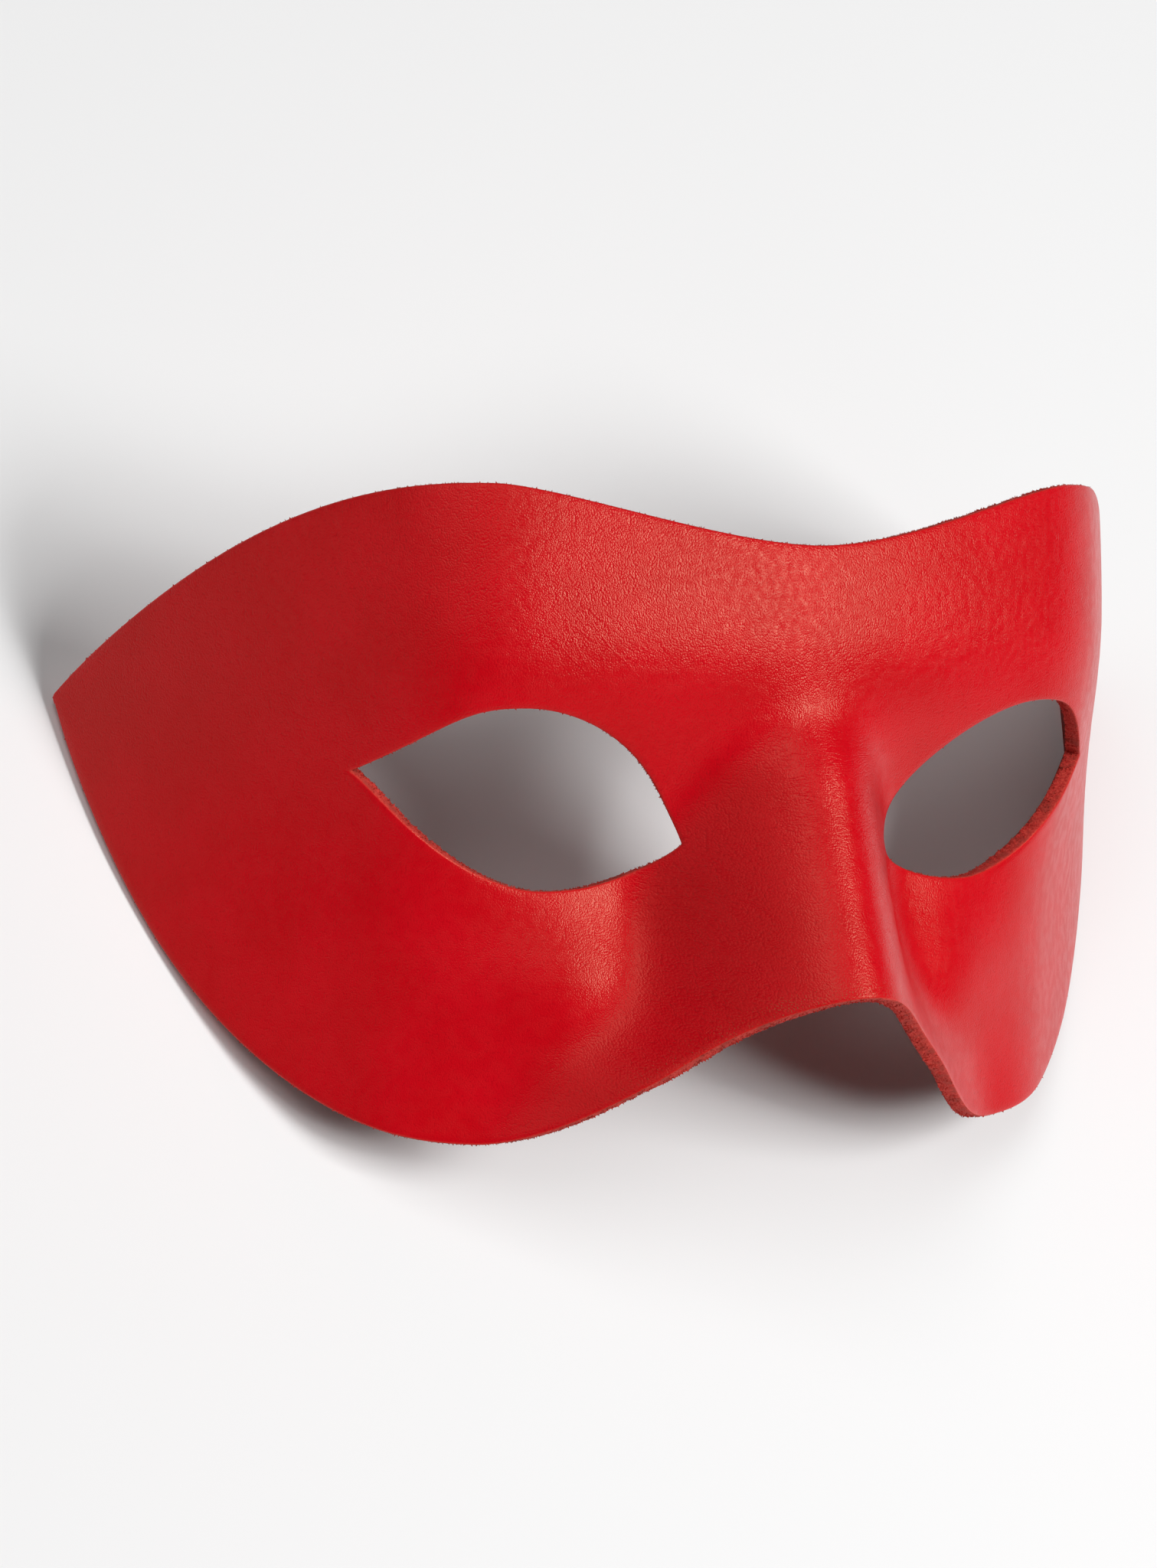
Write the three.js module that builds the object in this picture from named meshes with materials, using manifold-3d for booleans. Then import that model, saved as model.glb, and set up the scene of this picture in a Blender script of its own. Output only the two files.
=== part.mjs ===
// A leather half mask: one piece of thick leather, cut with two eye openings and moulded over a face
// form. Millimetres. The mask lies face up on its rim: +X to the right as it is seen, +Y to the
// forehead, +Z up.
import * as THREE from "three";
import { ParametricGeometry } from "three/addons/geometries/ParametricGeometry.js";
import { mergeGeometries, mergeVertices } from "three/addons/utils/BufferGeometryUtils.js";
import Module from "manifold-3d";

// The leather
const leatherThickness = 2.4;
const restFlat = 0.4;

// The cut outline. Each point is a distance round the face from the centre line, and a height over the
// eye line.
const browCentreHeight = 36.6;
const browPeakDistance = 48.5;
const browPeakHeight = 44.6;
const tipDistance = 121.9;
const tipHeight = 9.6;
const tipWidth = 1.8;
const cheekLowDistance = 44.5;
const cheekLowHeight = -49.8;
const noseEndHeight = -25.6;

// The eye opening
const eyeOuterDistance = 67.5;
const eyeOuterHeight = 3.1;
const eyeTopDistance = 43.5;
const eyeTopHeight = 13.2;
const eyeInnerDistance = 17.1;
const eyeInnerHeight = -6.4;
const eyeBottomDistance = 36;
const eyeBottomHeight = -13.5;

// The moulded form, seen from above: a gentle curve across the face, with a quicker turn at each temple
const faceRadius = 188.7;
const templeTurn = THREE.MathUtils.degToRad(31.7);
const templeStart = 39.4;
const templeEnd = 64.6;

// The forehead leans back above this height, on this radius, and is fuller towards the centre line
const foreheadStart = 10;
const foreheadRadius = 184;
const foreheadFullness = 2.2;
const foreheadFullHeight = 32;
const foreheadFullWidth = 40;
const foreheadFullReach = 26;

// The cheeks are set back under the brow, most at the centre line and less towards the temples
const cheekSetback = 18.8;
const setbackStart = 24.4;
const setbackEnd = -22.8;
const setbackReach = 102.2;

// Each cheek swells out again beside the nose, under the eye
const cheekFullness = 8.9;
const cheekFullDistance = 29;
const cheekFullHeight = -27;
const cheekFullWidth = 17;
const cheekFullReach = 15;

// The bridge of the nose: a rounded ridge that comes forward as it goes down, blended into the face.
// Its flanks are steep beside the eyes and spread below them, and above the eyes it curves away under
// the forehead.
const ridgeForward = 6.8;
const ridgeSlope = 0.42;
const ridgeRadius = 6.7;
const ridgeBlend = 8.6;
const steepFlank = 3.77;
const steepFlankHeight = -10;
const spreadFlank = 1.42;
const spreadFlankHeight = -40;
const bridgeTop = 3;
const bridgeRadius = 12;

// How far a Bezier handle reaches along the stretch that it shapes, as a share of the stretch
const browInnerHandles = [0.32, 0.81];
const browOuterHandles = [0.365, 0.685, 0.433];
const cheekHandles = [0.124, 0.489, 0.41];
const noseSideHandles = [0.332, 0.642];
const lidOuterHandles = [0.4, 0.41, 0.33];
const sillOuterHandles = [0.135, 0.122, 0.645];
const sillInnerHandles = [0.23, 0.765, 0.08];
const lidInnerHandles = [0.07, 0.467, 0.55];

const plan = (distance, height) => new THREE.Vector2(distance, height);

// A curve between two points of the outline, with both Bezier handles given as shares of the way
// between them
function cut(from, to, startShares, endShares) {
  const between = (shares) =>
    plan(
      THREE.MathUtils.lerp(from.x, to.x, shares[0]),
      THREE.MathUtils.lerp(from.y, to.y, shares[1]),
    );
  return new THREE.CubicBezierCurve(from, between(startShares), between(endShares), to);
}

const browCentre = plan(0, browCentreHeight);
const browPeak = plan(browPeakDistance, browPeakHeight);
const tipTop = plan(tipDistance - tipWidth / 4, tipHeight + tipWidth / 2);
const tipBottom = plan(tipDistance - tipWidth / 4, tipHeight - tipWidth / 2);
const cheekLow = plan(cheekLowDistance, cheekLowHeight);
const noseEnd = plan(0, noseEndHeight);

const browInner = cut(browCentre, browPeak, [browInnerHandles[0], 0], [browInnerHandles[1], 1]);
const browOuter = cut(browPeak, tipTop, [browOuterHandles[0], 0], browOuterHandles.slice(1));
const tipPoint = plan(tipDistance + tipWidth / 4, tipHeight);
const tipEnd = new THREE.QuadraticBezierCurve(tipTop, tipPoint, tipBottom);
const cheek = cut(tipBottom, cheekLow, cheekHandles.slice(0, 2), [1 - cheekHandles[2], 1]);
const noseSide = cut(cheekLow, noseEnd, [noseSideHandles[0], 0], [noseSideHandles[1], 1]);
const centreLine = new THREE.LineCurve(noseEnd, browCentre);

const eyeOuter = plan(eyeOuterDistance, eyeOuterHeight);
const eyeTop = plan(eyeTopDistance, eyeTopHeight);
const eyeInner = plan(eyeInnerDistance, eyeInnerHeight);
const eyeBottom = plan(eyeBottomDistance, eyeBottomHeight);

const lidOuter = cut(eyeTop, eyeOuter, [lidOuterHandles[0], 0], lidOuterHandles.slice(1));
const sillOuter = cut(eyeOuter, eyeBottom, sillOuterHandles.slice(0, 2), [sillOuterHandles[2], 1]);
const sillInner = cut(eyeBottom, eyeInner, [sillInnerHandles[0], 0], sillInnerHandles.slice(1));
const lidInner = cut(eyeInner, eyeTop, lidInnerHandles.slice(0, 2), [lidInnerHandles[2], 1]);

// Round the eye opening, each stretch of the outer cut faces a stretch of the eye's cut: [outer curve,
// from, to, eye curve, from, to, steps]. The last two stretches run up the centre line, where the
// halves meet.
const tipShare = 0.05;
const noseShare = 0.52;
const lidShare = 0.44;
const centreShare = 0.3;
const stretches = [
  [browInner, 0, 1, lidInner, lidShare, 1, 12],
  [browOuter, 0, 1, lidOuter, 0, 1 - tipShare, 20],
  [tipEnd, 0, 0.5, lidOuter, 1 - tipShare, 1, 1],
  [tipEnd, 0.5, 1, sillOuter, 0, tipShare, 1],
  [cheek, 0, 1, sillOuter, tipShare, 1, 22],
  [noseSide, 0, 1, sillInner, 0, noseShare, 14],
  [centreLine, 0, centreShare, sillInner, noseShare, 1, 5],
  [centreLine, centreShare, 1, lidInner, 0, lidShare, 12],
];
const stepsRound = stretches.reduce((sum, stretch) => sum + stretch[6], 0);
const rows = 10;
const rimSteps = 1;
const stepsAcross = 2 * (rows + rimSteps);

// The two cut edges that face each other at one step round the eye
function edgesAt(step) {
  let before = 0;
  for (const [outer, outerFrom, outerTo, eye, eyeFrom, eyeTo, steps] of stretches) {
    if (step <= before + steps) {
      const share = (step - before) / steps;
      return [
        outer.getPointAt(THREE.MathUtils.lerp(outerFrom, outerTo, share)),
        eye.getPointAt(THREE.MathUtils.lerp(eyeFrom, eyeTo, share)),
      ];
    }
    before += steps;
  }
  return edgesAt(0);
}

const ease = (share) => THREE.MathUtils.smoothstep(share, 0, 1);

// The direction of the form seen from above, at a distance round the face: 0 across it and a right
// angle along its side
const heading = (distance) =>
  distance / faceRadius + templeTurn * ease((distance - templeStart) / (templeEnd - templeStart));

// The curve of the form seen from above, as points one step apart: x across the face and y forward
const planStep = 0.5;
const planPoints = [plan(0, 0)];
while (planPoints.length * planStep < tipDistance + 2 * tipWidth) {
  const last = planPoints[planPoints.length - 1];
  const way = heading((planPoints.length - 0.5) * planStep);
  planPoints.push(plan(last.x + planStep * Math.cos(way), last.y - planStep * Math.sin(way)));
}
function planAt(distance) {
  const step = Math.min(Math.abs(distance) / planStep, planPoints.length - 1.001);
  const before = Math.floor(step);
  return planPoints[before].clone().lerp(planPoints[before + 1], step - before);
}

// The larger of two depths, with the change from one to the other rounded off
const blend = (a, b, reach) => (a + b + Math.hypot(a - b, reach)) / 2;

// A soft swelling, 1 at its middle and fading out over a width and a height
const swelling = (across, up, width, reach) => Math.exp(-((across / width) ** 2) - (up / reach) ** 2);

// The grain side of the leather, in the frame of the face: x to the right, y up the face, z forward
function grainSide(distance, height) {
  const seen = planAt(distance);
  const lean = Math.max(0, height - foreheadStart) ** 2 / (2 * foreheadRadius);
  const under = ease((setbackStart - height) / (setbackStart - setbackEnd));
  const fade = Math.cos((Math.PI / 2) * Math.min(2, Math.abs(distance) / setbackReach));
  const forehead = swelling(distance, height - foreheadFullHeight, foreheadFullWidth, foreheadFullReach);
  const besideNose = Math.abs(distance) - cheekFullDistance;
  const cheekSwelling = swelling(besideNose, height - cheekFullHeight, cheekFullWidth, cheekFullReach);
  const full = foreheadFullness * forehead + cheekFullness * cheekSwelling;
  const face = seen.y - lean - cheekSetback * under * fade + full;
  const steep = ease((height - spreadFlankHeight) / (steepFlankHeight - spreadFlankHeight));
  const flank = THREE.MathUtils.lerp(spreadFlank, steepFlank, steep);
  const crest = ridgeRadius * flank ** 2;
  const top = ridgeForward - ridgeSlope * height - Math.max(0, height - bridgeTop) ** 2 / (2 * bridgeRadius);
  const ridge = top + crest - Math.hypot(flank * seen.x, crest);
  return new THREE.Vector3(Math.sign(distance) * seen.x, height, blend(face, ridge, ridgeBlend));
}

function grainNormal(distance, height) {
  const across = grainSide(distance + planStep, height).sub(grainSide(distance - planStep, height));
  const up = grainSide(distance, height + planStep).sub(grainSide(distance, height - planStep));
  return across.cross(up).normalize();
}

// One half of the leather as a ring round its eye opening. Across the ring the surface goes over the
// grain side from the outer cut to the eye, through the eye's cut edge, back over the flesh side and
// out through the outer edge.
function leatherPoint(acrossShare, aroundShare, target) {
  const [outer, eye] = edgesAt(aroundShare * stepsRound);
  const step = acrossShare * stepsAcross;
  const turns = [0, rows, rows + rimSteps, 2 * rows + rimSteps, stepsAcross];
  const part = turns.findIndex((turn, i) => i > 0 && step <= turn + 1e-6);
  const share = (step - turns[part - 1]) / (turns[part] - turns[part - 1]);
  const inward = [share, 1, 1 - share, 0][part - 1];
  const deep = [0, share, 1, 1 - share][part - 1];
  const at = outer.lerp(eye, inward);
  target.copy(grainSide(at.x, at.y));
  target.addScaledVector(grainNormal(at.x, at.y), -leatherThickness * deep);
}

// The ring without the faces on the centre line, so that the two halves join as one skin
function halfSkin() {
  const ring = new ParametricGeometry(leatherPoint, stepsAcross, stepsRound);
  ring.deleteAttribute("normal");
  ring.deleteAttribute("uv");
  const skin = mergeVertices(ring, 1e-4);
  const x = (corner) => Math.abs(skin.attributes.position.getX(corner));
  const faces = [];
  for (let i = 0; i < skin.index.count; i += 3) {
    const corners = [0, 1, 2].map((k) => skin.index.getX(i + k));
    if (corners.some((corner) => x(corner) > 1e-4)) faces.push(...corners);
  }
  return skin.setIndex(faces);
}

function mirrored(geometry) {
  const copy = geometry.clone().scale(-1, 1, 1);
  const index = Array.from(copy.index.array);
  for (let i = 0; i < index.length; i += 3) [index[i], index[i + 1]] = [index[i + 1], index[i]];
  return copy.setIndex(index);
}

const half = halfSkin();
const leather = mergeVertices(mergeGeometries([half, mirrored(half)]), 1e-4);

// The balance point of a closed skin
function balancePoint(geometry) {
  const places = geometry.attributes.position;
  const corner = [0, 1, 2].map(() => new THREE.Vector3());
  const sum = new THREE.Vector3();
  let volume = 0;
  for (let i = 0; i < geometry.index.count; i += 3) {
    corner.forEach((point, k) => point.fromBufferAttribute(places, geometry.index.getX(i + k)));
    const part = corner[0].dot(corner[1].clone().cross(corner[2])) / 6;
    volume += part;
    corner.forEach((point) => sum.addScaledVector(point, part / 4));
  }
  return sum.divideScalar(volume);
}

// The tilt at which the mask lies still on its rim: of the edges that it can rest on, seen from the
// side, the one with the balance point lowest over it
function restTilt(geometry) {
  const balance = balancePoint(geometry);
  const seen = [];
  for (let i = 0; i < geometry.attributes.position.count; i++) {
    seen.push(plan(geometry.attributes.position.getY(i), geometry.attributes.position.getZ(i)));
  }
  seen.sort((a, b) => a.x - b.x || a.y - b.y);
  const hull = [];
  for (const point of seen) {
    while (hull.length > 1) {
      const [a, b] = hull.slice(-2);
      if (b.clone().sub(a).cross(point.clone().sub(a)) > 0) break;
      hull.pop();
    }
    hull.push(point);
  }
  const rests = hull.slice(1).map((end, i) => {
    const edge = end.clone().sub(hull[i]);
    const over = plan(balance.y, balance.z).sub(hull[i]);
    const foot = over.dot(edge) / edge.lengthSq();
    const height = edge.cross(over) / edge.length();
    return { angle: Math.atan2(edge.y, edge.x), height, still: foot >= 0 && foot <= 1 };
  });
  rests.sort((a, b) => b.still - a.still || a.height - b.height);
  return -rests[0].angle;
}

leather.rotateX(restTilt(leather));
leather.computeBoundingBox();
leather.translate(0, 0, -restFlat - leather.boundingBox.min.z);

// The rim is cut level where it meets the ground, so that the mask rests on two narrow flats
const wasm = await Module();
wasm.setup();
function solidOf(geometry) {
  const bare = geometry.clone();
  bare.deleteAttribute("normal");
  bare.deleteAttribute("uv");
  const merged = mergeVertices(bare, 1e-4);
  const mesh = new wasm.Mesh({
    numProp: 3,
    vertProperties: merged.attributes.position.array,
    triVerts: new Uint32Array(merged.index.array),
  });
  return new wasm.Manifold(mesh);
}
const groundSize = 4 * tipDistance;
const ground = new THREE.BoxGeometry(groundSize, groundSize, groundSize).translate(0, 0, -groundSize / 2);
const cutMesh = solidOf(leather).subtract(solidOf(ground)).getMesh();

const mask = new THREE.BufferGeometry();
mask.setAttribute("position", new THREE.BufferAttribute(cutMesh.vertProperties, 3));
mask.setIndex(new THREE.BufferAttribute(cutMesh.triVerts, 1));
mask.computeBoundingBox();
mask.translate(0, -(mask.boundingBox.min.y + mask.boundingBox.max.y) / 2, 0);
mask.computeVertexNormals();

const redLeather = new THREE.MeshStandardMaterial({ color: 0xa8141c, roughness: 0.45, metalness: 0 });
const leatherMask = new THREE.Mesh(mask, redLeather);
leatherMask.name = "leather_mask";

const group = new THREE.Group();
group.add(leatherMask);
export default group;
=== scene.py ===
# %% [markdown]
# # A moulded leather half mask
# The object is one piece of thick red leather. A mask maker cuts it flat from a hide, wets it, presses it
# over a form and lets it dry. This script does the same in Blender: it lays out the flat pattern, presses
# it over a form that is written as a formula, gives it the thickness of the leather, rounds and roughens
# the cut edges, and then finishes its three surfaces: the shiny grain side, the fibrous cut edge and the
# napped flesh side behind. The solid model is loaded first, because the leather has to lie where it lies.

# %% Load the solid model
import bisect
import math
import random

import bmesh
import bpy
from mathutils import Matrix, Vector, kdtree, noise


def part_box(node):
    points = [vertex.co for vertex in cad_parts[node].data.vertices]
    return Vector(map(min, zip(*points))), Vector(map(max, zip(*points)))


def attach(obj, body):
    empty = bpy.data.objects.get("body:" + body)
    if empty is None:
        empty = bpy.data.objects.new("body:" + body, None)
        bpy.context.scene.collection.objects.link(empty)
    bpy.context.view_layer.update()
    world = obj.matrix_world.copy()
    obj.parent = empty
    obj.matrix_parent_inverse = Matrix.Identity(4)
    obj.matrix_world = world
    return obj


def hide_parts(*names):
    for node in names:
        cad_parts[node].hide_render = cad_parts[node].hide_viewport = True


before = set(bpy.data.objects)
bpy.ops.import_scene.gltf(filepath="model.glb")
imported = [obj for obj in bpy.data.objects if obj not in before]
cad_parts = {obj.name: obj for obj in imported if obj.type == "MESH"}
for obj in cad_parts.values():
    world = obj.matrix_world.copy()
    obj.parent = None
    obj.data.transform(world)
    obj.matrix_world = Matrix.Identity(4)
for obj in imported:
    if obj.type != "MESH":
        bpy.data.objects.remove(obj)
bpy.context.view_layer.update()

mask_low, mask_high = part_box("leather_mask")
print("the solid mask measures", [round(side * 1000, 1) for side in mask_high - mask_low], "mm")

# %% [markdown]
# ## The flat pattern
# The leather is cut to an outline that is easiest to give on the flat hide: how far a point lies round
# the face from the centre line, and how high over the line of the eyes. Few points are needed, because
# the stretches between them are Bezier curves, as a maker would draw them with a flexible ruler. Only the
# right half is drawn. The left half is its mirror image.

# %% Points of the outline
mm = 0.001


def pattern(distance, height):
    """A point on the flat pattern: distance round the face, and height over the eye line."""
    return Vector((distance, height)) * mm


tip_width = 1.8
brow_centre = pattern(0, 36.6)
brow_peak = pattern(48.5, 44.6)
tip_top = pattern(121.9 - tip_width / 4, 9.6 + tip_width / 2)
tip_point = pattern(121.9 + tip_width / 4, 9.6)
tip_bottom = pattern(121.9 - tip_width / 4, 9.6 - tip_width / 2)
cheek_low = pattern(44.5, -49.8)
nose_end = pattern(0, -25.6)
eye_outer = pattern(67.5, 3.1)
eye_top = pattern(43.5, 13.2)
eye_inner = pattern(17.1, -6.4)
eye_bottom = pattern(36, -13.5)
print("the flat pattern is", round(2 * tip_point.x / mm), "mm long")

# %% Curves between the points
curve_samples = 400


def curve_through(points):
    """A Bezier curve, as a function that gives the place at any share of its length."""
    fine = []
    for sample in range(curve_samples + 1):
        row = points
        while len(row) > 1:
            row = [a.lerp(b, sample / curve_samples) for a, b in zip(row, row[1:])]
        fine.append(row[0])
    reached = [0.0]
    for a, b in zip(fine, fine[1:]):
        reached.append(reached[-1] + (b - a).length)

    def place(share):
        target = share * reached[-1]
        after = min(bisect.bisect_right(reached, target), curve_samples)
        part = (target - reached[after - 1]) / (reached[after] - reached[after - 1])
        return fine[after - 1].lerp(fine[after], part)

    return place


def cut(start, end, start_shares, end_shares):
    """A cut between two points, with both Bezier handles given as shares of the way between them."""
    handles = [
        Vector((start.x + (end.x - start.x) * across, start.y + (end.y - start.y) * up))
        for across, up in (start_shares, end_shares)
    ]
    return curve_through([start, *handles, end])


brow_inner = cut(brow_centre, brow_peak, (0.32, 0), (0.81, 1))
brow_outer = cut(brow_peak, tip_top, (0.365, 0), (0.685, 0.433))
tip_end = curve_through([tip_top, tip_point, tip_bottom])
cheek = cut(tip_bottom, cheek_low, (0.124, 0.489), (0.59, 1))
nose_side = cut(cheek_low, nose_end, (0.332, 0), (0.642, 1))
centre_line = curve_through([nose_end, brow_centre])
lid_outer = cut(eye_top, eye_outer, (0.4, 0), (0.41, 0.33))
sill_outer = cut(eye_outer, eye_bottom, (0.135, 0.122), (0.645, 1))
sill_inner = cut(eye_bottom, eye_inner, (0.23, 0), (0.765, 0.08))
lid_inner = cut(eye_inner, eye_top, (0.07, 0.467), (0.55, 1))
print("eye opening", round((eye_outer.x - eye_inner.x) / mm, 1), "mm along the leather")

# %% [markdown]
# ## The form
# The form that the leather is pressed over could be sculpted, but it has few features, so it is written
# as a formula: a curve seen from above with a quicker turn at each temple, a full forehead that leans
# back, cheeks that are set back under the brow and swell beside the nose, and the rounded ridge of the
# nose. A formula gives the place and the slope of every point exactly, so the surface has no bumps that
# a shiny finish would show.

# %% The curve of the form seen from above
face_radius = 188.7 * mm
temple_turn = math.radians(31.7)
temple_start = 39.4 * mm
temple_end = 64.6 * mm
plan_step = 0.5 * mm
plan_reach = tip_point.x + 4 * mm


def ease(share):
    """A smooth change from 0 to 1."""
    share = min(1, max(0, share))
    return share * share * (3 - 2 * share)


def heading(distance):
    """The direction of the form, seen from above, at a distance round the face."""
    turn = ease((distance - temple_start) / (temple_end - temple_start))
    return distance / face_radius + temple_turn * turn


plan_points = [Vector((0, 0))]
while len(plan_points) * plan_step < plan_reach:
    way = heading((len(plan_points) - 0.5) * plan_step)
    plan_points.append(plan_points[-1] + plan_step * Vector((math.cos(way), -math.sin(way))))


def plan_at(distance):
    """The place across and forward that a distance round the face leads to."""
    step = abs(distance) / plan_step
    before = min(int(step), len(plan_points) - 2)
    return plan_points[before].lerp(plan_points[before + 1], step - before)


print("the tips lie", round(plan_at(tip_point.x).x / mm, 1), "mm from the centre")

# %% Forehead, cheeks and nose
forehead_start = 10 * mm
forehead_radius = 184 * mm
forehead_fullness = 2.2 * mm
forehead_full_height = 32 * mm
forehead_full_width = 40 * mm
forehead_full_reach = 26 * mm
cheek_setback = 18.8 * mm
setback_start = 24.4 * mm
setback_end = -22.8 * mm
setback_reach = 102.2 * mm
cheek_fullness = 8.9 * mm
cheek_full_distance = 29 * mm
cheek_full_height = -27 * mm
cheek_full_width = 17 * mm
cheek_full_reach = 15 * mm
ridge_forward = 6.8 * mm
ridge_slope = 0.42
ridge_radius = 6.7 * mm
ridge_blend = 8.6 * mm
steep_flank_slope = 3.77
steep_flank_height = -10 * mm
spread_flank_slope = 1.42
spread_flank_height = -40 * mm
bridge_top = 3 * mm
bridge_radius = 12 * mm


def swelling(across, up, width, reach):
    """A soft swelling, 1 at its middle and fading out over a width and a height."""
    return math.exp(-((across / width) ** 2) - (up / reach) ** 2)


def grain_side(distance, height):
    """The outer surface of the leather on the form: x across, y up the face and z forward."""
    seen = plan_at(distance)
    lean = max(0, height - forehead_start) ** 2 / (2 * forehead_radius)
    under = ease((setback_start - height) / (setback_start - setback_end))
    fade = math.cos(math.pi / 2 * min(2, abs(distance) / setback_reach))
    forehead = swelling(distance, height - forehead_full_height, forehead_full_width, forehead_full_reach)
    beside_nose = abs(distance) - cheek_full_distance
    cheek_swelling = swelling(beside_nose, height - cheek_full_height, cheek_full_width, cheek_full_reach)
    full = forehead_fullness * forehead + cheek_fullness * cheek_swelling
    face = seen.y - lean - cheek_setback * under * fade + full
    steep = ease((height - spread_flank_height) / (steep_flank_height - spread_flank_height))
    flank = spread_flank_slope + (steep_flank_slope - spread_flank_slope) * steep
    crest = ridge_radius * flank**2
    curl = max(0, height - bridge_top) ** 2 / (2 * bridge_radius)
    ridge = ridge_forward - ridge_slope * height - curl + crest - math.hypot(flank * seen.x, crest)
    forward = (face + ridge + math.hypot(face - ridge, ridge_blend)) / 2
    return Vector((math.copysign(seen.x, distance), height, forward))


def grain_normal(distance, height):
    """The direction that the outer surface faces."""
    right = grain_side(distance + plan_step, height) - grain_side(distance - plan_step, height)
    up = grain_side(distance, height + plan_step) - grain_side(distance, height - plan_step)
    return right.cross(up).normalized()


nose_out = grain_side(0, nose_end.y).z - grain_side(30 * mm, nose_end.y).z
print("the nose stands", round(nose_out / mm, 1), "mm out")

# %% [markdown]
# ## Cutting and pressing the leather
# The leather starts as a plain grid. Its rows are laid out as rings round one eye opening, from the outer
# cut to the cut of the eye, so that both cuts are clean edge loops that can be rounded and roughened.
# The rows are closer near the cuts, where the detail is. Each vertex keeps its place on the flat hide in
# a layer of its own, and the finishes read it later, so the grain lies on the leather as it grew.

# %% Rings round the eye
# Each stretch pairs a part of the outer cut with the part of the eye's cut that faces it, and says in how
# many steps both are walked. The parts are shares of the length of their curves.
tip_share = 0.05
nose_share = 0.52
lid_share = 0.44
centre_share = 0.3
fineness = 9
row_count = 16
row_crowding = 0.5
same_place = 0.01 * mm
stretches = [
    (brow_inner, 0, 1, lid_inner, lid_share, 1, 12 * fineness),
    (brow_outer, 0, 1, lid_outer, 0, 1 - tip_share, 20 * fineness),
    (tip_end, 0, 0.5, lid_outer, 1 - tip_share, 1, fineness),
    (tip_end, 0.5, 1, sill_outer, 0, tip_share, fineness),
    (cheek, 0, 1, sill_outer, tip_share, 1, 22 * fineness),
    (nose_side, 0, 1, sill_inner, 0, nose_share, 14 * fineness),
    (centre_line, 0, centre_share, sill_inner, nose_share, 1, 5 * fineness),
    (centre_line, centre_share, 1, lid_inner, 0, lid_share, 12 * fineness),
]
cuts = []
for outer, outer_from, outer_to, eye, eye_from, eye_to, steps in stretches:
    for step in range(steps):
        outer_place = outer(outer_from + (outer_to - outer_from) * step / steps)
        cuts.append((outer_place, eye(eye_from + (eye_to - eye_from) * step / steps)))
cuts.append(cuts[0])
print(len(cuts) - 1, "steps round each eye")

# %% The flat half
# The grid runs from -0.5 to 0.5 both ways: x leads from the outer cut to the eye, and y round the eye.
leather = bmesh.new()
hide = leather.verts.layers.float_vector.new("hide")
bmesh.ops.create_grid(leather, x_segments=row_count, y_segments=len(cuts) - 1, size=0.5)
for vert in leather.verts:
    outer_place, eye_place = cuts[round((vert.co.y + 0.5) * (len(cuts) - 1))]
    share = vert.co.x + 0.5
    share -= row_crowding * math.sin(2 * math.pi * share) / (2 * math.pi)
    vert[hide] = outer_place.lerp(eye_place, share).to_3d()
print(len(leather.verts), "vertices in the flat half")

# %% Pressed over the form
for vert in leather.verts:
    vert.co = grain_side(*vert[hide].xy)
bmesh.ops.remove_doubles(leather, verts=leather.verts, dist=same_place)
half = leather.verts[:] + leather.edges[:] + leather.faces[:]
bmesh.ops.mirror(leather, geom=half, matrix=Matrix.Identity(4), merge_dist=same_place, axis="X")
for vert in leather.verts:
    vert[hide].x = math.copysign(vert[hide].x, vert.co.x)
bmesh.ops.recalc_face_normals(leather, faces=leather.faces)
if sum(face.normal.z * face.calc_area() for face in leather.faces) < 0:
    bmesh.ops.reverse_faces(leather, faces=leather.faces)
print(len(leather.faces), "faces in the whole sheet")

# %% [markdown]
# ## Thickness
# The sheet gets its thickness from a copy that is moved back along the normals of the form, with a wall of
# faces along the rim between the two. The Solidify modifier would do nearly the same, but here each kind
# of face is needed by name, because the grain side, the cut edge and the flesh side have different
# finishes. The faces are added one by one, because the extrude operator adds its walls in another order
# each time, and then no two runs would have the same tufts of fibre.

# %% Grain side, flesh side and cut edge
# The depth of a vertex in the leather is 0 on the grain side and 1 on the flesh side.
leather_thickness = 2.4 * mm
GRAIN, CUT, FLESH = range(3)
depth = leather.verts.layers.float.new("depth")
grain_faces = leather.faces[:]
rim_loops = [edge.link_loops[0] for edge in leather.edges if edge.is_boundary]
rim = [(loop.vert, loop.link_loop_next.vert) for loop in rim_loops]
behind = {}
for vert in leather.verts[:]:
    behind[vert] = leather.verts.new(vert.co - grain_normal(*vert[hide].xy) * leather_thickness)
    behind[vert][hide] = vert[hide]
    behind[vert][depth] = 1
for face in grain_faces:
    face.material_index = GRAIN
    back = leather.faces.new([behind[vert] for vert in reversed(face.verts)])
    back.material_index = FLESH
for start, end in rim:
    wall = leather.faces.new((end, start, behind[start], behind[end]))
    wall.material_index = CUT
for face in leather.faces:
    face.smooth = True
for kind, name in enumerate(("grain", "cut", "flesh")):
    area = sum(face.calc_area() for face in leather.faces if face.material_index == kind)
    print(name, "side", round(area * 1e4), "square centimetres")

# %% Rings of faces across the cut edge
# One row of faces in the thickness of the leather would be too coarse for the fibres.
cut_rings = 4
through = [edge for edge in leather.edges if {vert[depth] for vert in edge.verts} == {0, 1}]
bmesh.ops.subdivide_edges(leather, edges=through, cuts=cut_rings, use_grid_fill=True)
corners = [
    edge
    for edge in leather.edges
    if len({face.material_index for face in edge.link_faces}) == 2
]
print(len(corners), "edges along the corners of the cut")

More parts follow.
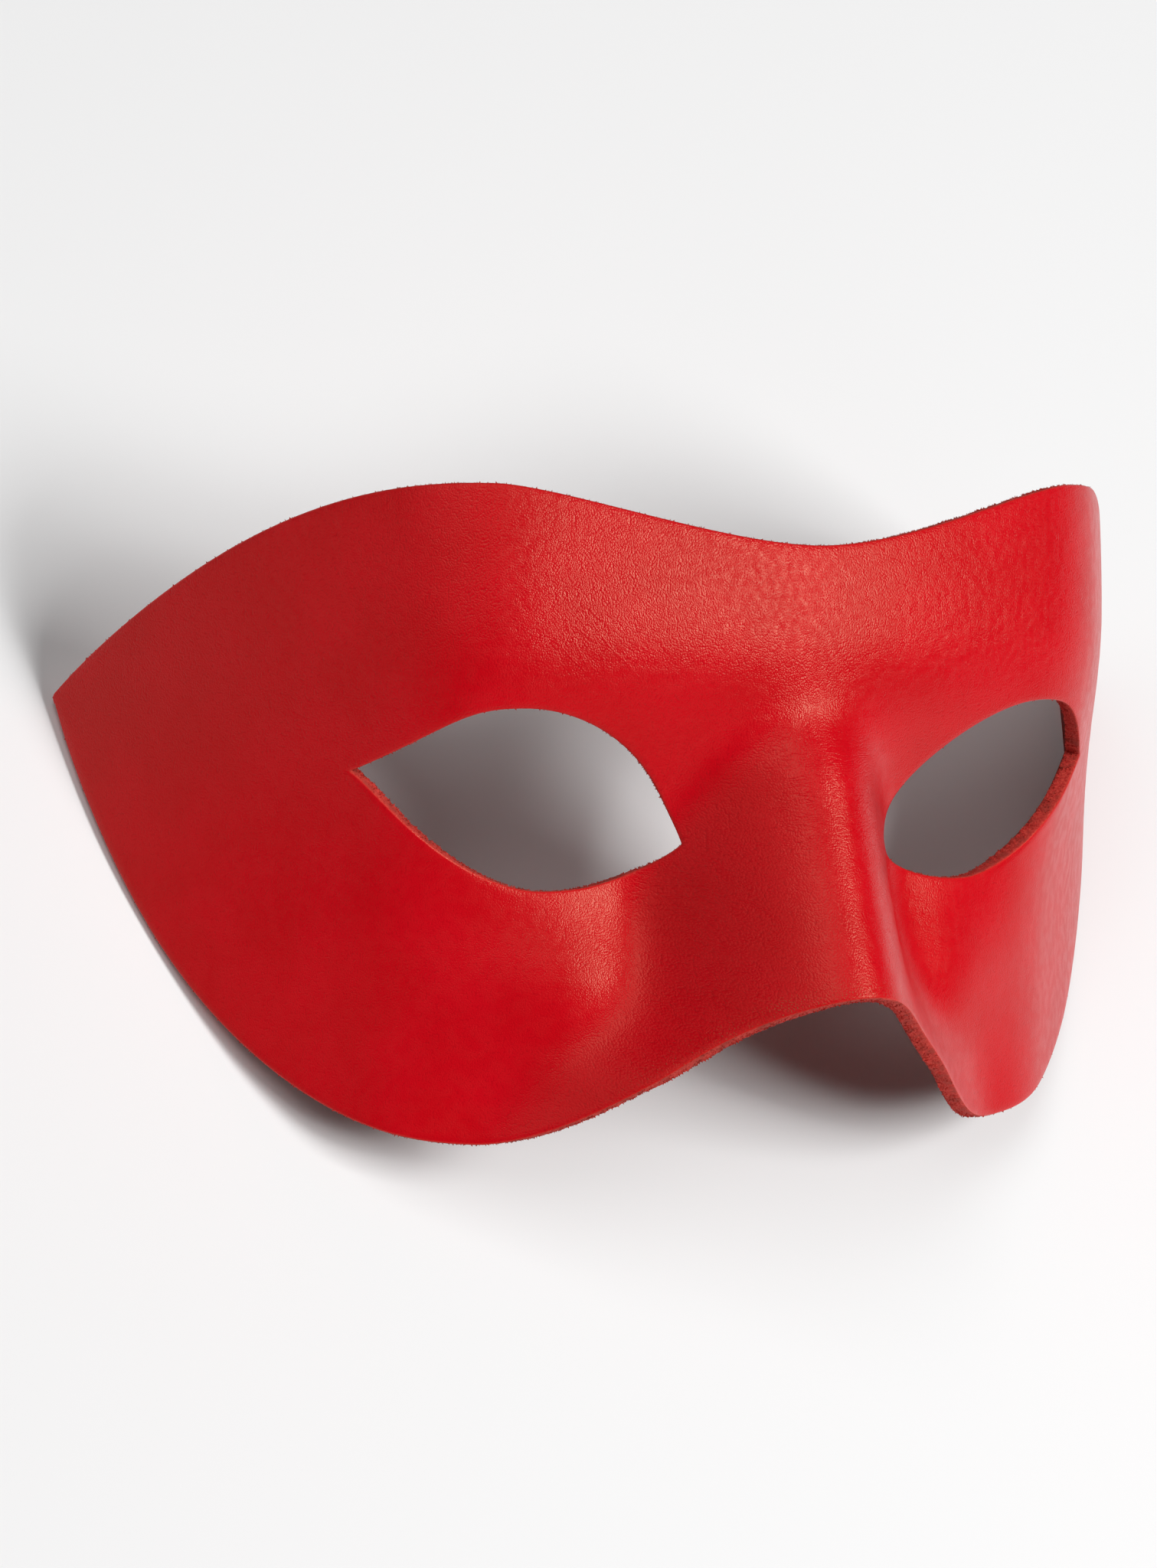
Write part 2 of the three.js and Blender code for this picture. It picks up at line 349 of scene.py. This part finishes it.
# %% Rounded corners
corner_radius = 0.3 * mm
corner_steps = 2
bmesh.ops.bevel(
    leather,
    geom=corners,
    offset=corner_radius,
    offset_type="OFFSET",
    affect="EDGES",
    segments=corner_steps,
    profile=0.5,
    material=-1,
    clamp_overlap=True,
)
print(len(leather.faces), "faces after the corners are rounded")

# %% [markdown]
# ## Lying on the floor
# The mask lies face up on the lower side edges of its rim, tilted so that the forehead is raised. The
# tilt is the one at which the solid model rests, and the place comes from the solid model's own box.

# %% Laid down
rest_tilt = math.radians(29.44)
bmesh.ops.rotate(leather, verts=leather.verts, cent=(0, 0, 0), matrix=Matrix.Rotation(rest_tilt, 3, "X"))
low_y = min(vert.co.y for vert in leather.verts)
high_y = max(vert.co.y for vert in leather.verts)
high_z = max(vert.co.z for vert in leather.verts)
place = Vector((0, (mask_low.y + mask_high.y - low_y - high_y) / 2, mask_high.z - high_z))
bmesh.ops.translate(leather, verts=leather.verts, vec=place)
print("laid down at", [round(value / mm, 2) for value in place], "mm")

# %% [markdown]
# ## The roughened cut
# A knife leaves thick leather smooth near the grain side, where the fibres are dense, and ragged near the
# flesh side, where they are loose. That could be left to the shader, but the cut is seen from close by in
# the eye openings and under the nose, and its ragged line shows against the floor. So its vertices are
# pressed in by a noise, and small cones stand for the tufts of fibre that come loose.

# %% Fibres along the cut
# The noise adds up octaves, each finer than the last by the gap and weaker by the fineness. Where it stays
# below its level, the leather is pressed in.
fibre_depth = 0.35 * mm
fibre_size = 0.55 * mm
fibre_fineness = 0.6
fibre_gap = 2.1
fibre_octaves = 3
fibre_level = 0.15
cut_verts = {vert for face in leather.faces if face.material_index == CUT for vert in face.verts}
leather.normal_update()
moves = {}
for vert in cut_verts:
    loose = ease(vert[depth])
    rough = noise.fractal(vert.co / fibre_size, fibre_fineness, fibre_gap, fibre_octaves)
    moves[vert] = vert.normal * fibre_depth * loose * min(0, rough - fibre_level)
for vert, move in moves.items():
    vert.co += move
print(len(moves), "vertices roughened")

# %% Loose tufts
batch_count = 56
tufts_in_batch = 125
tuft_length = (0.2 * mm, 0.4 * mm)
tuft_radius = (0.09 * mm, 0.2 * mm)
tuft_lean = 0.6
tuft_sides = 3
tuft_root = 0.06 * mm
grain_looseness = 0.1
rng = random.Random(7)
cut_faces = [face for face in leather.faces if face.material_index == CUT]
looseness = []
for face in cut_faces:
    middle_depth = sum(vert[depth] for vert in face.verts) / len(face.verts)
    looseness.append(face.calc_area() * (grain_looseness + middle_depth))
places = []
for face in rng.choices(cut_faces, looseness, k=batch_count * tufts_in_batch):
    shares = [rng.random() for vert in face.verts]
    root = sum((vert.co * share for vert, share in zip(face.verts, shares)), Vector()) / sum(shares)
    lean = Vector([rng.uniform(-tuft_lean, tuft_lean) for axis in range(3)])
    places.append((root, (face.normal + lean).normalized()))
tuft_mesh = bpy.data.meshes.new("tufts")
for batch in range(batch_count):
    tufts = bmesh.new()
    for root, way in places[batch::batch_count]:
        length = rng.uniform(*tuft_length)
        turned = way.to_track_quat("Z", "Y").to_matrix().to_4x4()
        bmesh.ops.create_cone(
            tufts,
            cap_ends=True,
            cap_tris=True,
            segments=tuft_sides,
            radius1=rng.uniform(*tuft_radius),
            radius2=0,
            depth=length,
            matrix=Matrix.Translation(root + way * (length / 2 - tuft_root)) @ turned,
        )
    for face in tufts.faces:
        face.material_index = CUT
    # No tuft sticks out of the box of the solid mask.
    for vert in tufts.verts:
        for axis in range(3):
            vert.co[axis] = min(max(vert.co[axis], mask_low[axis]), mask_high[axis])
    tufts.to_mesh(tuft_mesh)
    tufts.free()
    leather.from_mesh(tuft_mesh)
bpy.data.meshes.remove(tuft_mesh)
for vert in leather.verts:
    vert.co.z = max(vert.co.z, 0)
print(len(places), "tufts of fibre")

# %% [markdown]
# ## The finished mesh
# The leather becomes one mesh, which is shown in place of the solid mask. Every vertex also gets its
# distance from the nearest cut, because the grain gets a painted highlight along the cuts and the finish
# has to know where.

# %% The finished mesh
mask_mesh = bpy.data.meshes.new("mask_leather")
leather.to_mesh(mask_mesh)
leather.free()
mask = bpy.data.objects.new("mask_leather", mask_mesh)
bpy.context.scene.collection.objects.link(mask)
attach(mask, "root")
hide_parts("leather_mask")
triangles = sum(len(face.vertices) - 2 for face in mask_mesh.polygons)
print(triangles, "triangles in the leather")

# %% Distance from the cut, for the finishes
edge_tree = kdtree.KDTree(len(mask_mesh.vertices))
on_cut = {i for face in mask_mesh.polygons if face.material_index == CUT for i in face.vertices}
for i in on_cut:
    edge_tree.insert(mask_mesh.vertices[i].co, i)
edge_tree.balance()
from_cut = mask_mesh.attributes.new("from_cut", "FLOAT", "POINT")
for i, vertex in enumerate(mask_mesh.vertices):
    from_cut.data[i].value = 0 if i in on_cut else edge_tree.find(vertex.co)[2] / mm
print("widest place of the leather", round(max(item.value for item in from_cut.data), 1), "mm from a cut")

# %% [markdown]
# ## Finishes
# Each finish is a procedural material. The nodes are made by small helpers, so that a finish reads as a
# recipe: a pattern at its size in millimetres, how high it stands and how it changes the colour.

# %% Helpers for the nodes


class Finish:
    """A material whose nodes are joined as they are made."""

    def __init__(self, name):
        self.material = bpy.data.materials.new(name)
        self.material.use_nodes = True
        self.tree = self.material.node_tree
        self.shader = self.tree.nodes["Principled BSDF"]

    def set(self, node, name, value):
        """Joins another node's output to an input, or sets the value of the input."""
        if isinstance(value, bpy.types.NodeSocket):
            self.tree.links.new(value, node.inputs[name])
        else:
            node.inputs[name].default_value = value

    def node(self, kind, inputs, output=0, **settings):
        """Adds a node and gives the output that the next one needs."""
        made = self.tree.nodes.new("ShaderNode" + kind)
        for name, value in settings.items():
            setattr(made, name, value)
        for name, value in inputs.items():
            self.set(made, name, value)
        return made.outputs[output]

    def maths(self, operation, a, b=0.0):
        return self.node("Math", {0: a, 1: b}, operation=operation)

    def times(self, *values):
        total = values[0]
        for value in values[1:]:
            total = self.maths("MULTIPLY", total, value)
        return total

    def add(self, *values):
        total = values[0]
        for value in values[1:]:
            total = self.maths("ADD", total, value)
        return total

    def apart(self, value, middle):
        """How far a value lies from a middle one."""
        return self.maths("ABSOLUTE", self.add(value, -middle))

    def change(self, value, low, high, to_low=0.0, to_high=1.0):
        """A smooth change of a value that goes from low to high."""
        inputs = {"Value": value, "From Min": low, "From Max": high, "To Min": to_low, "To Max": to_high}
        return self.node("MapRange", inputs, interpolation_type="SMOOTHSTEP")

    def tint(self, share, a, b):
        """A mix of two colours, which this node takes at its inputs 6 and 7 and gives at its output 2."""
        return self.node("Mix", {0: share, 6: a, 7: b}, 2, data_type="RGBA")

    def in_millimetres(self, place):
        return self.node("VectorMath", {0: place, "Scale": 1 / mm}, operation="SCALE")

    def spaced(self, place, across, up, turn=0.0):
        """Places counted in steps of so many millimetres."""
        inputs = {"Vector": place, "Rotation": (0, 0, turn), "Scale": (across, up, up)}
        return self.node("Mapping", inputs, vector_type="TEXTURE")

    def cloud(self, place, detail=2.0, roughness=0.5, flat=True, output=0):
        """A soft noise, either on the flat hide or all through the leather."""
        inputs = {"Vector": place, "Scale": 1.0, "Detail": detail, "Roughness": roughness}
        return self.node("TexNoise", inputs, output, noise_dimensions="2D" if flat else "3D")

    def cells(self, place):
        """Irregular cells, low in the middle of each and high where they meet."""
        inputs = {"Vector": place, "Scale": 1.0, "Randomness": 1.0}
        return self.node("TexVoronoi", inputs, "Distance", voronoi_dimensions="2D")

    def relief(self, height, depth):
        """Stands a height pattern out by a depth in millimetres."""
        bump = self.node("Bump", {"Strength": 1.0, "Distance": depth * mm, "Height": height})
        self.set(self.shader, "Normal", bump)


def colour(red, green, blue):
    """The linear colour that the shader needs, from an sRGB colour with parts up to 255."""
    parts = [part / 255 for part in (red, green, blue)]
    linear = [part / 12.92 if part <= 0.04045 else ((part + 0.055) / 1.055) ** 2.4 for part in parts]
    return (*linear, 1.0)


print("helpers ready")

# %% [markdown]
# ## The grain side
# The grain side of dyed calf leather has small pebbles, coarse on the forehead and beside the nose and
# finer on the cheeks, fine creases where it was bent over the bridge of the nose and at the inner corners
# of the eyes, a few old scratches over one eye, and a satin finish. The hollows between the pebbles get
# painted shade, a thin line along the cuts gets a painted highlight of their rounded edges, and the end
# of the nose has a few scuffs. The relief is a bump of the shader, because it is only about a twentieth
# of a millimetre deep, far less than a face of the mesh is wide.

# %% Patterns of the grain and where they lie
# All measures are millimetres on the flat hide. A pattern has a size across and a size up the face. The
# other pairs say where something has faded out and where it has its full strength.
pebble_size = (0.26, 0.31)
sway_size = (1.4, 1.4)
fine_size = (0.17, 0.17)
soft_size = (2.2, 2.2)
ripple_size = (3.6, 0.6)
scratch_size = (14, 1.8)
scratch_turn = math.radians(-50)
mottle_size = (13, 13)
grain_relief = 0.042
bridge_sides = (11, 6)
bridge_foot = (-12, -3)
bridge_head = (13, 9)
eye_corner_across = 19
eye_corner_up = -13
eye_corner_reach = (6, 2)
scratch_across = -33
scratch_up = 22
scratch_reach_across = (9, 4)
scratch_reach_up = (10, 4)
coarse_rise = (2, 26)
coarse_sides = (44, 22)
coarse_top = (12, -4)
scuff_rim = (4, 1)
scuff_sides = (34, 20)
scuff_top = (-14, -20)
rim_highlight_width = (0.45, 0.15)
print("pebbles of", pebble_size, "mm and a relief of", grain_relief, "mm")

# %% Grain leather


def grain_leather():
    finish = Finish("red grain leather")
    attribute = finish.node("Attribute", {}, "Vector", attribute_name="hide")
    on_hide = finish.in_millimetres(attribute)
    sides = finish.tree.nodes.new("ShaderNodeSeparateXYZ")
    finish.set(sides, 0, on_hide)
    across, up = sides.outputs["X"], sides.outputs["Y"]
    from_centre = finish.maths("ABSOLUTE", across)
    from_cut = finish.node("Attribute", {}, "Fac", attribute_name="from_cut")

    sway = finish.cloud(finish.spaced(on_hide, *sway_size), 0.0, output="Color")
    swayed = finish.node("VectorMath", {0: sway, 1: (0.5, 0.5, 0), 2: on_hide}, operation="MULTIPLY_ADD")
    grain = finish.cells(finish.spaced(swayed, *pebble_size))
    fine = finish.cloud(finish.spaced(on_hide, *fine_size), 0.0)
    soft = finish.cloud(finish.spaced(on_hide, *soft_size), 1.0)

    ripple = finish.cloud(finish.spaced(swayed, *ripple_size), 0.0)
    crease = finish.change(finish.apart(ripple, 0.5), 0.0, 0.09)
    bridge = finish.times(
        finish.change(from_centre, *bridge_sides),
        finish.change(up, *bridge_foot),
        finish.change(up, *bridge_head),
    )
    eye_corner = finish.times(
        finish.change(finish.apart(from_centre, eye_corner_across), *eye_corner_reach),
        finish.change(finish.apart(up, eye_corner_up), *eye_corner_reach),
    )
    creased = finish.times(finish.add(bridge, eye_corner), finish.add(crease, -1.0))

    lines = finish.cloud(finish.spaced(on_hide, *scratch_size, turn=scratch_turn), 0.0)
    scratches = finish.times(
        finish.change(finish.apart(lines, 0.5), 0.06, 0.0),
        finish.change(finish.apart(across, scratch_across), *scratch_reach_across),
        finish.change(finish.apart(up, scratch_up), *scratch_reach_up),
    )

    coarse = finish.add(
        finish.change(finish.add(up, finish.times(soft, 14)), *coarse_rise, 0.5, 1.0),
        finish.times(finish.change(from_centre, *coarse_sides), finish.change(up, *coarse_top, 0.0, 0.3)),
    )
    height = finish.add(
        finish.times(grain, coarse, -1.1),
        finish.times(fine, 0.4),
        finish.times(soft, 0.5),
        finish.times(creased, 0.5),
        finish.times(scratches, 0.45),
    )
    finish.relief(height, grain_relief)

    mottle = finish.cloud(finish.spaced(on_hide, *mottle_size), 2.0)
    red = finish.tint(finish.change(mottle, 0.3, 0.7), colour(200, 3, 20), colour(206, 5, 24))
    # Painted shade: the grain is painted darker in the hollows where its pebbles meet.
    red = finish.tint(finish.times(finish.change(grain, 0.5, 0.85), 0.5), red, colour(180, 2, 19))
    scuffs = finish.times(
        finish.change(finish.add(mottle, finish.times(fine, 2)), 1.97, 2.05),
        finish.change(from_cut, *scuff_rim),
        finish.change(from_centre, *scuff_sides),
        finish.change(up, *scuff_top),
    )
    red = finish.tint(scuffs, red, colour(168, 74, 50))
    # Painted highlight: the grain is painted lighter in a thin line along the cuts, where their rounded edges
    # catch the light.
    rim = finish.change(finish.add(from_cut, finish.times(fine, 0.3)), *rim_highlight_width)
    red = finish.tint(finish.times(rim, 0.45), red, colour(214, 46, 38))
    finish.set(finish.shader, "Base Color", red)
    finish.set(finish.shader, "Roughness", finish.change(soft, 0.3, 0.7, 0.28, 0.35))
    finish.set(finish.shader, "Specular IOR Level", 0.28)
    # The highlights get a warm tint, which stands in for warm light, since the lamps are white.
    finish.set(finish.shader, "Specular Tint", (1, 0.87, 0.6, 1))
    return finish.material


mask_mesh.materials.append(grain_leather())
print("grain side finished")

# %% [markdown]
# ## The cut edge and the flesh side
# The knife leaves a fibrous edge that took the dye unevenly, and the back is napped like suede. Both could
# be laid out on the flat hide like the grain, but the cut crosses the thickness of the leather, where the
# flat hide has only one place. So their patterns run through the leather as it lies in space.

# %% Cut edge and flesh side
# Sizes and depths are in millimetres.
cut_fibre_size = 0.35
cut_blotch_size = 2.2
cut_relief = 0.16
nap_size = 0.5
flesh_blotch_size = 9
nap_relief = 0.2


def through_leather(finish, size, detail, roughness=0.5):
    """A pattern that runs through the thickness of the leather."""
    place = finish.in_millimetres(finish.node("TexCoord", {}, "Object"))
    return finish.cloud(finish.spaced(place, size, size), detail, roughness, flat=False)


def cut_edge():
    finish = Finish("fibrous cut edge")
    fibres = through_leather(finish, cut_fibre_size, 4.0, 0.65)
    blotches = through_leather(finish, cut_blotch_size, 2.0)
    dull = finish.tint(finish.change(fibres, 0.35, 0.65), colour(182, 40, 36), colour(210, 70, 58))
    dull = finish.tint(finish.change(blotches, 0.45, 0.7), dull, colour(170, 56, 46))
    finish.set(finish.shader, "Base Color", dull)
    finish.set(finish.shader, "Roughness", 0.9)
    finish.set(finish.shader, "Specular IOR Level", 0.25)
    finish.relief(fibres, cut_relief)
    return finish.material


def flesh_side():
    finish = Finish("napped flesh side")
    nap = through_leather(finish, nap_size, 4.0, 0.6)
    blotches = through_leather(finish, flesh_blotch_size, 3.0)
    brown = finish.tint(finish.change(blotches, 0.35, 0.65), colour(134, 48, 40), colour(158, 60, 50))
    brown = finish.tint(finish.change(nap, 0.3, 0.7), brown, colour(120, 40, 34))
    finish.set(finish.shader, "Base Color", brown)
    finish.set(finish.shader, "Roughness", 0.95)
    finish.set(finish.shader, "Specular IOR Level", 0.2)
    finish.relief(nap, nap_relief)
    return finish.material


mask_mesh.materials.append(cut_edge())
mask_mesh.materials.append(flesh_side())
print("cut edge and flesh side finished")

# %% [markdown]
# ## Floor, light and camera
# A plain pale floor, two soft key lights from the upper right, which give the highlights of the forehead,
# the bridge and the cheek, weaker lights on the left and low in front, which fill the shaded side, and a
# nearly dark room. The camera looks at the face from 30 degrees to its side and a little above, as the
# photograph does, so over the lying mask it looks down.

# %% The floor
floor_reach = 3
floor_mesh = bpy.data.meshes.new("floor")
floor_sheet = bmesh.new()
bmesh.ops.create_grid(floor_sheet, x_segments=1, y_segments=1, size=floor_reach)
floor_sheet.to_mesh(floor_mesh)
floor_sheet.free()
floor = bpy.data.objects.new("floor", floor_mesh)
bpy.context.scene.collection.objects.link(floor)
floor_finish = Finish("pale floor")
floor_finish.set(floor_finish.shader, "Base Color", (0.9, 0.9, 0.9, 1))
floor_finish.set(floor_finish.shader, "Roughness", 0.9)
floor_finish.set(floor_finish.shader, "Specular IOR Level", 0.0)
floor_mesh.materials.append(floor_finish.material)
print("floor laid")

# %% Lights
mask_centre = Vector((0, 0, 35)) * mm
room_glow = 0.03


def softbox(name, azimuth, elevation, width, height, radiance, distance=1.4):
    """A large soft light. Azimuth 0 is on the cheek side and 90 on the right; elevation is over the floor."""
    data = bpy.data.lights.new(name, "AREA")
    data.shape = "RECTANGLE"
    data.size = width
    data.size_y = height
    data.energy = radiance * math.pi * width * height
    light = bpy.data.objects.new(name, data)
    around, over = math.radians(azimuth), math.radians(elevation)
    level = math.cos(over)
    away = Vector((math.sin(around) * level, -math.cos(around) * level, math.sin(over)))
    light.location = mask_centre + away * distance
    light.rotation_mode = "QUATERNION"
    light.rotation_quaternion = away.to_track_quat("Z", "Y")
    bpy.context.scene.collection.objects.link(light)


softbox("key", 65, 66, 0.45, 0.4, 16)
softbox("second key", 45, 54, 0.45, 0.4, 15.6)
softbox("back left", -115, 60, 1.0, 0.7, 2.6)
softbox("low left", -90, 25, 0.8, 0.5, 0.9)
softbox("low front", 10, 12, 1.0, 0.4, 0.8)
world = bpy.data.worlds.new("room")
world.use_nodes = True
world.node_tree.nodes["Background"].inputs["Color"].default_value = (1, 1, 1, 1)
world.node_tree.nodes["Background"].inputs["Strength"].default_value = room_glow
bpy.context.scene.world = world
bpy.context.scene.view_settings.view_transform = "Standard"
print(len(bpy.data.lights), "soft lights")

# %% Camera
side_angle = math.radians(30)
rise_angle = math.radians(6.12)
roll_angle = math.radians(-2.12)
camera_distance = 881.9 * mm
focal_length = 142.61
look_right = 33.03 * mm
look_up = -2.56 * mm
camera_data = bpy.data.cameras.new("camera")
camera_data.lens = focal_length
camera_data.sensor_width = 36
camera = bpy.data.objects.new("camera", camera_data)
bpy.context.scene.collection.objects.link(camera)
level = math.cos(rise_angle)
back = Vector((-math.sin(side_angle) * level, math.sin(rise_angle), math.cos(side_angle) * level))
flat_right = Vector((math.cos(side_angle), 0, math.sin(side_angle)))
flat_up = back.cross(flat_right)
right = flat_right * math.cos(roll_angle) - flat_up * math.sin(roll_angle)
up = flat_right * math.sin(roll_angle) + flat_up * math.cos(roll_angle)
stand = back * camera_distance - right * look_right - up * look_up
view = Matrix.Translation(stand) @ Matrix((right, up, back)).transposed().to_4x4()
lay_down = Matrix.Translation(place) @ Matrix.Rotation(rest_tilt, 4, "X")
camera.matrix_world = lay_down @ view
camera_data.clip_start = 0.01
camera_data.clip_end = 20
bpy.context.scene.camera = camera
print("camera over the floor", round(math.degrees(math.asin((lay_down.to_3x3() @ back).z))), "degrees")
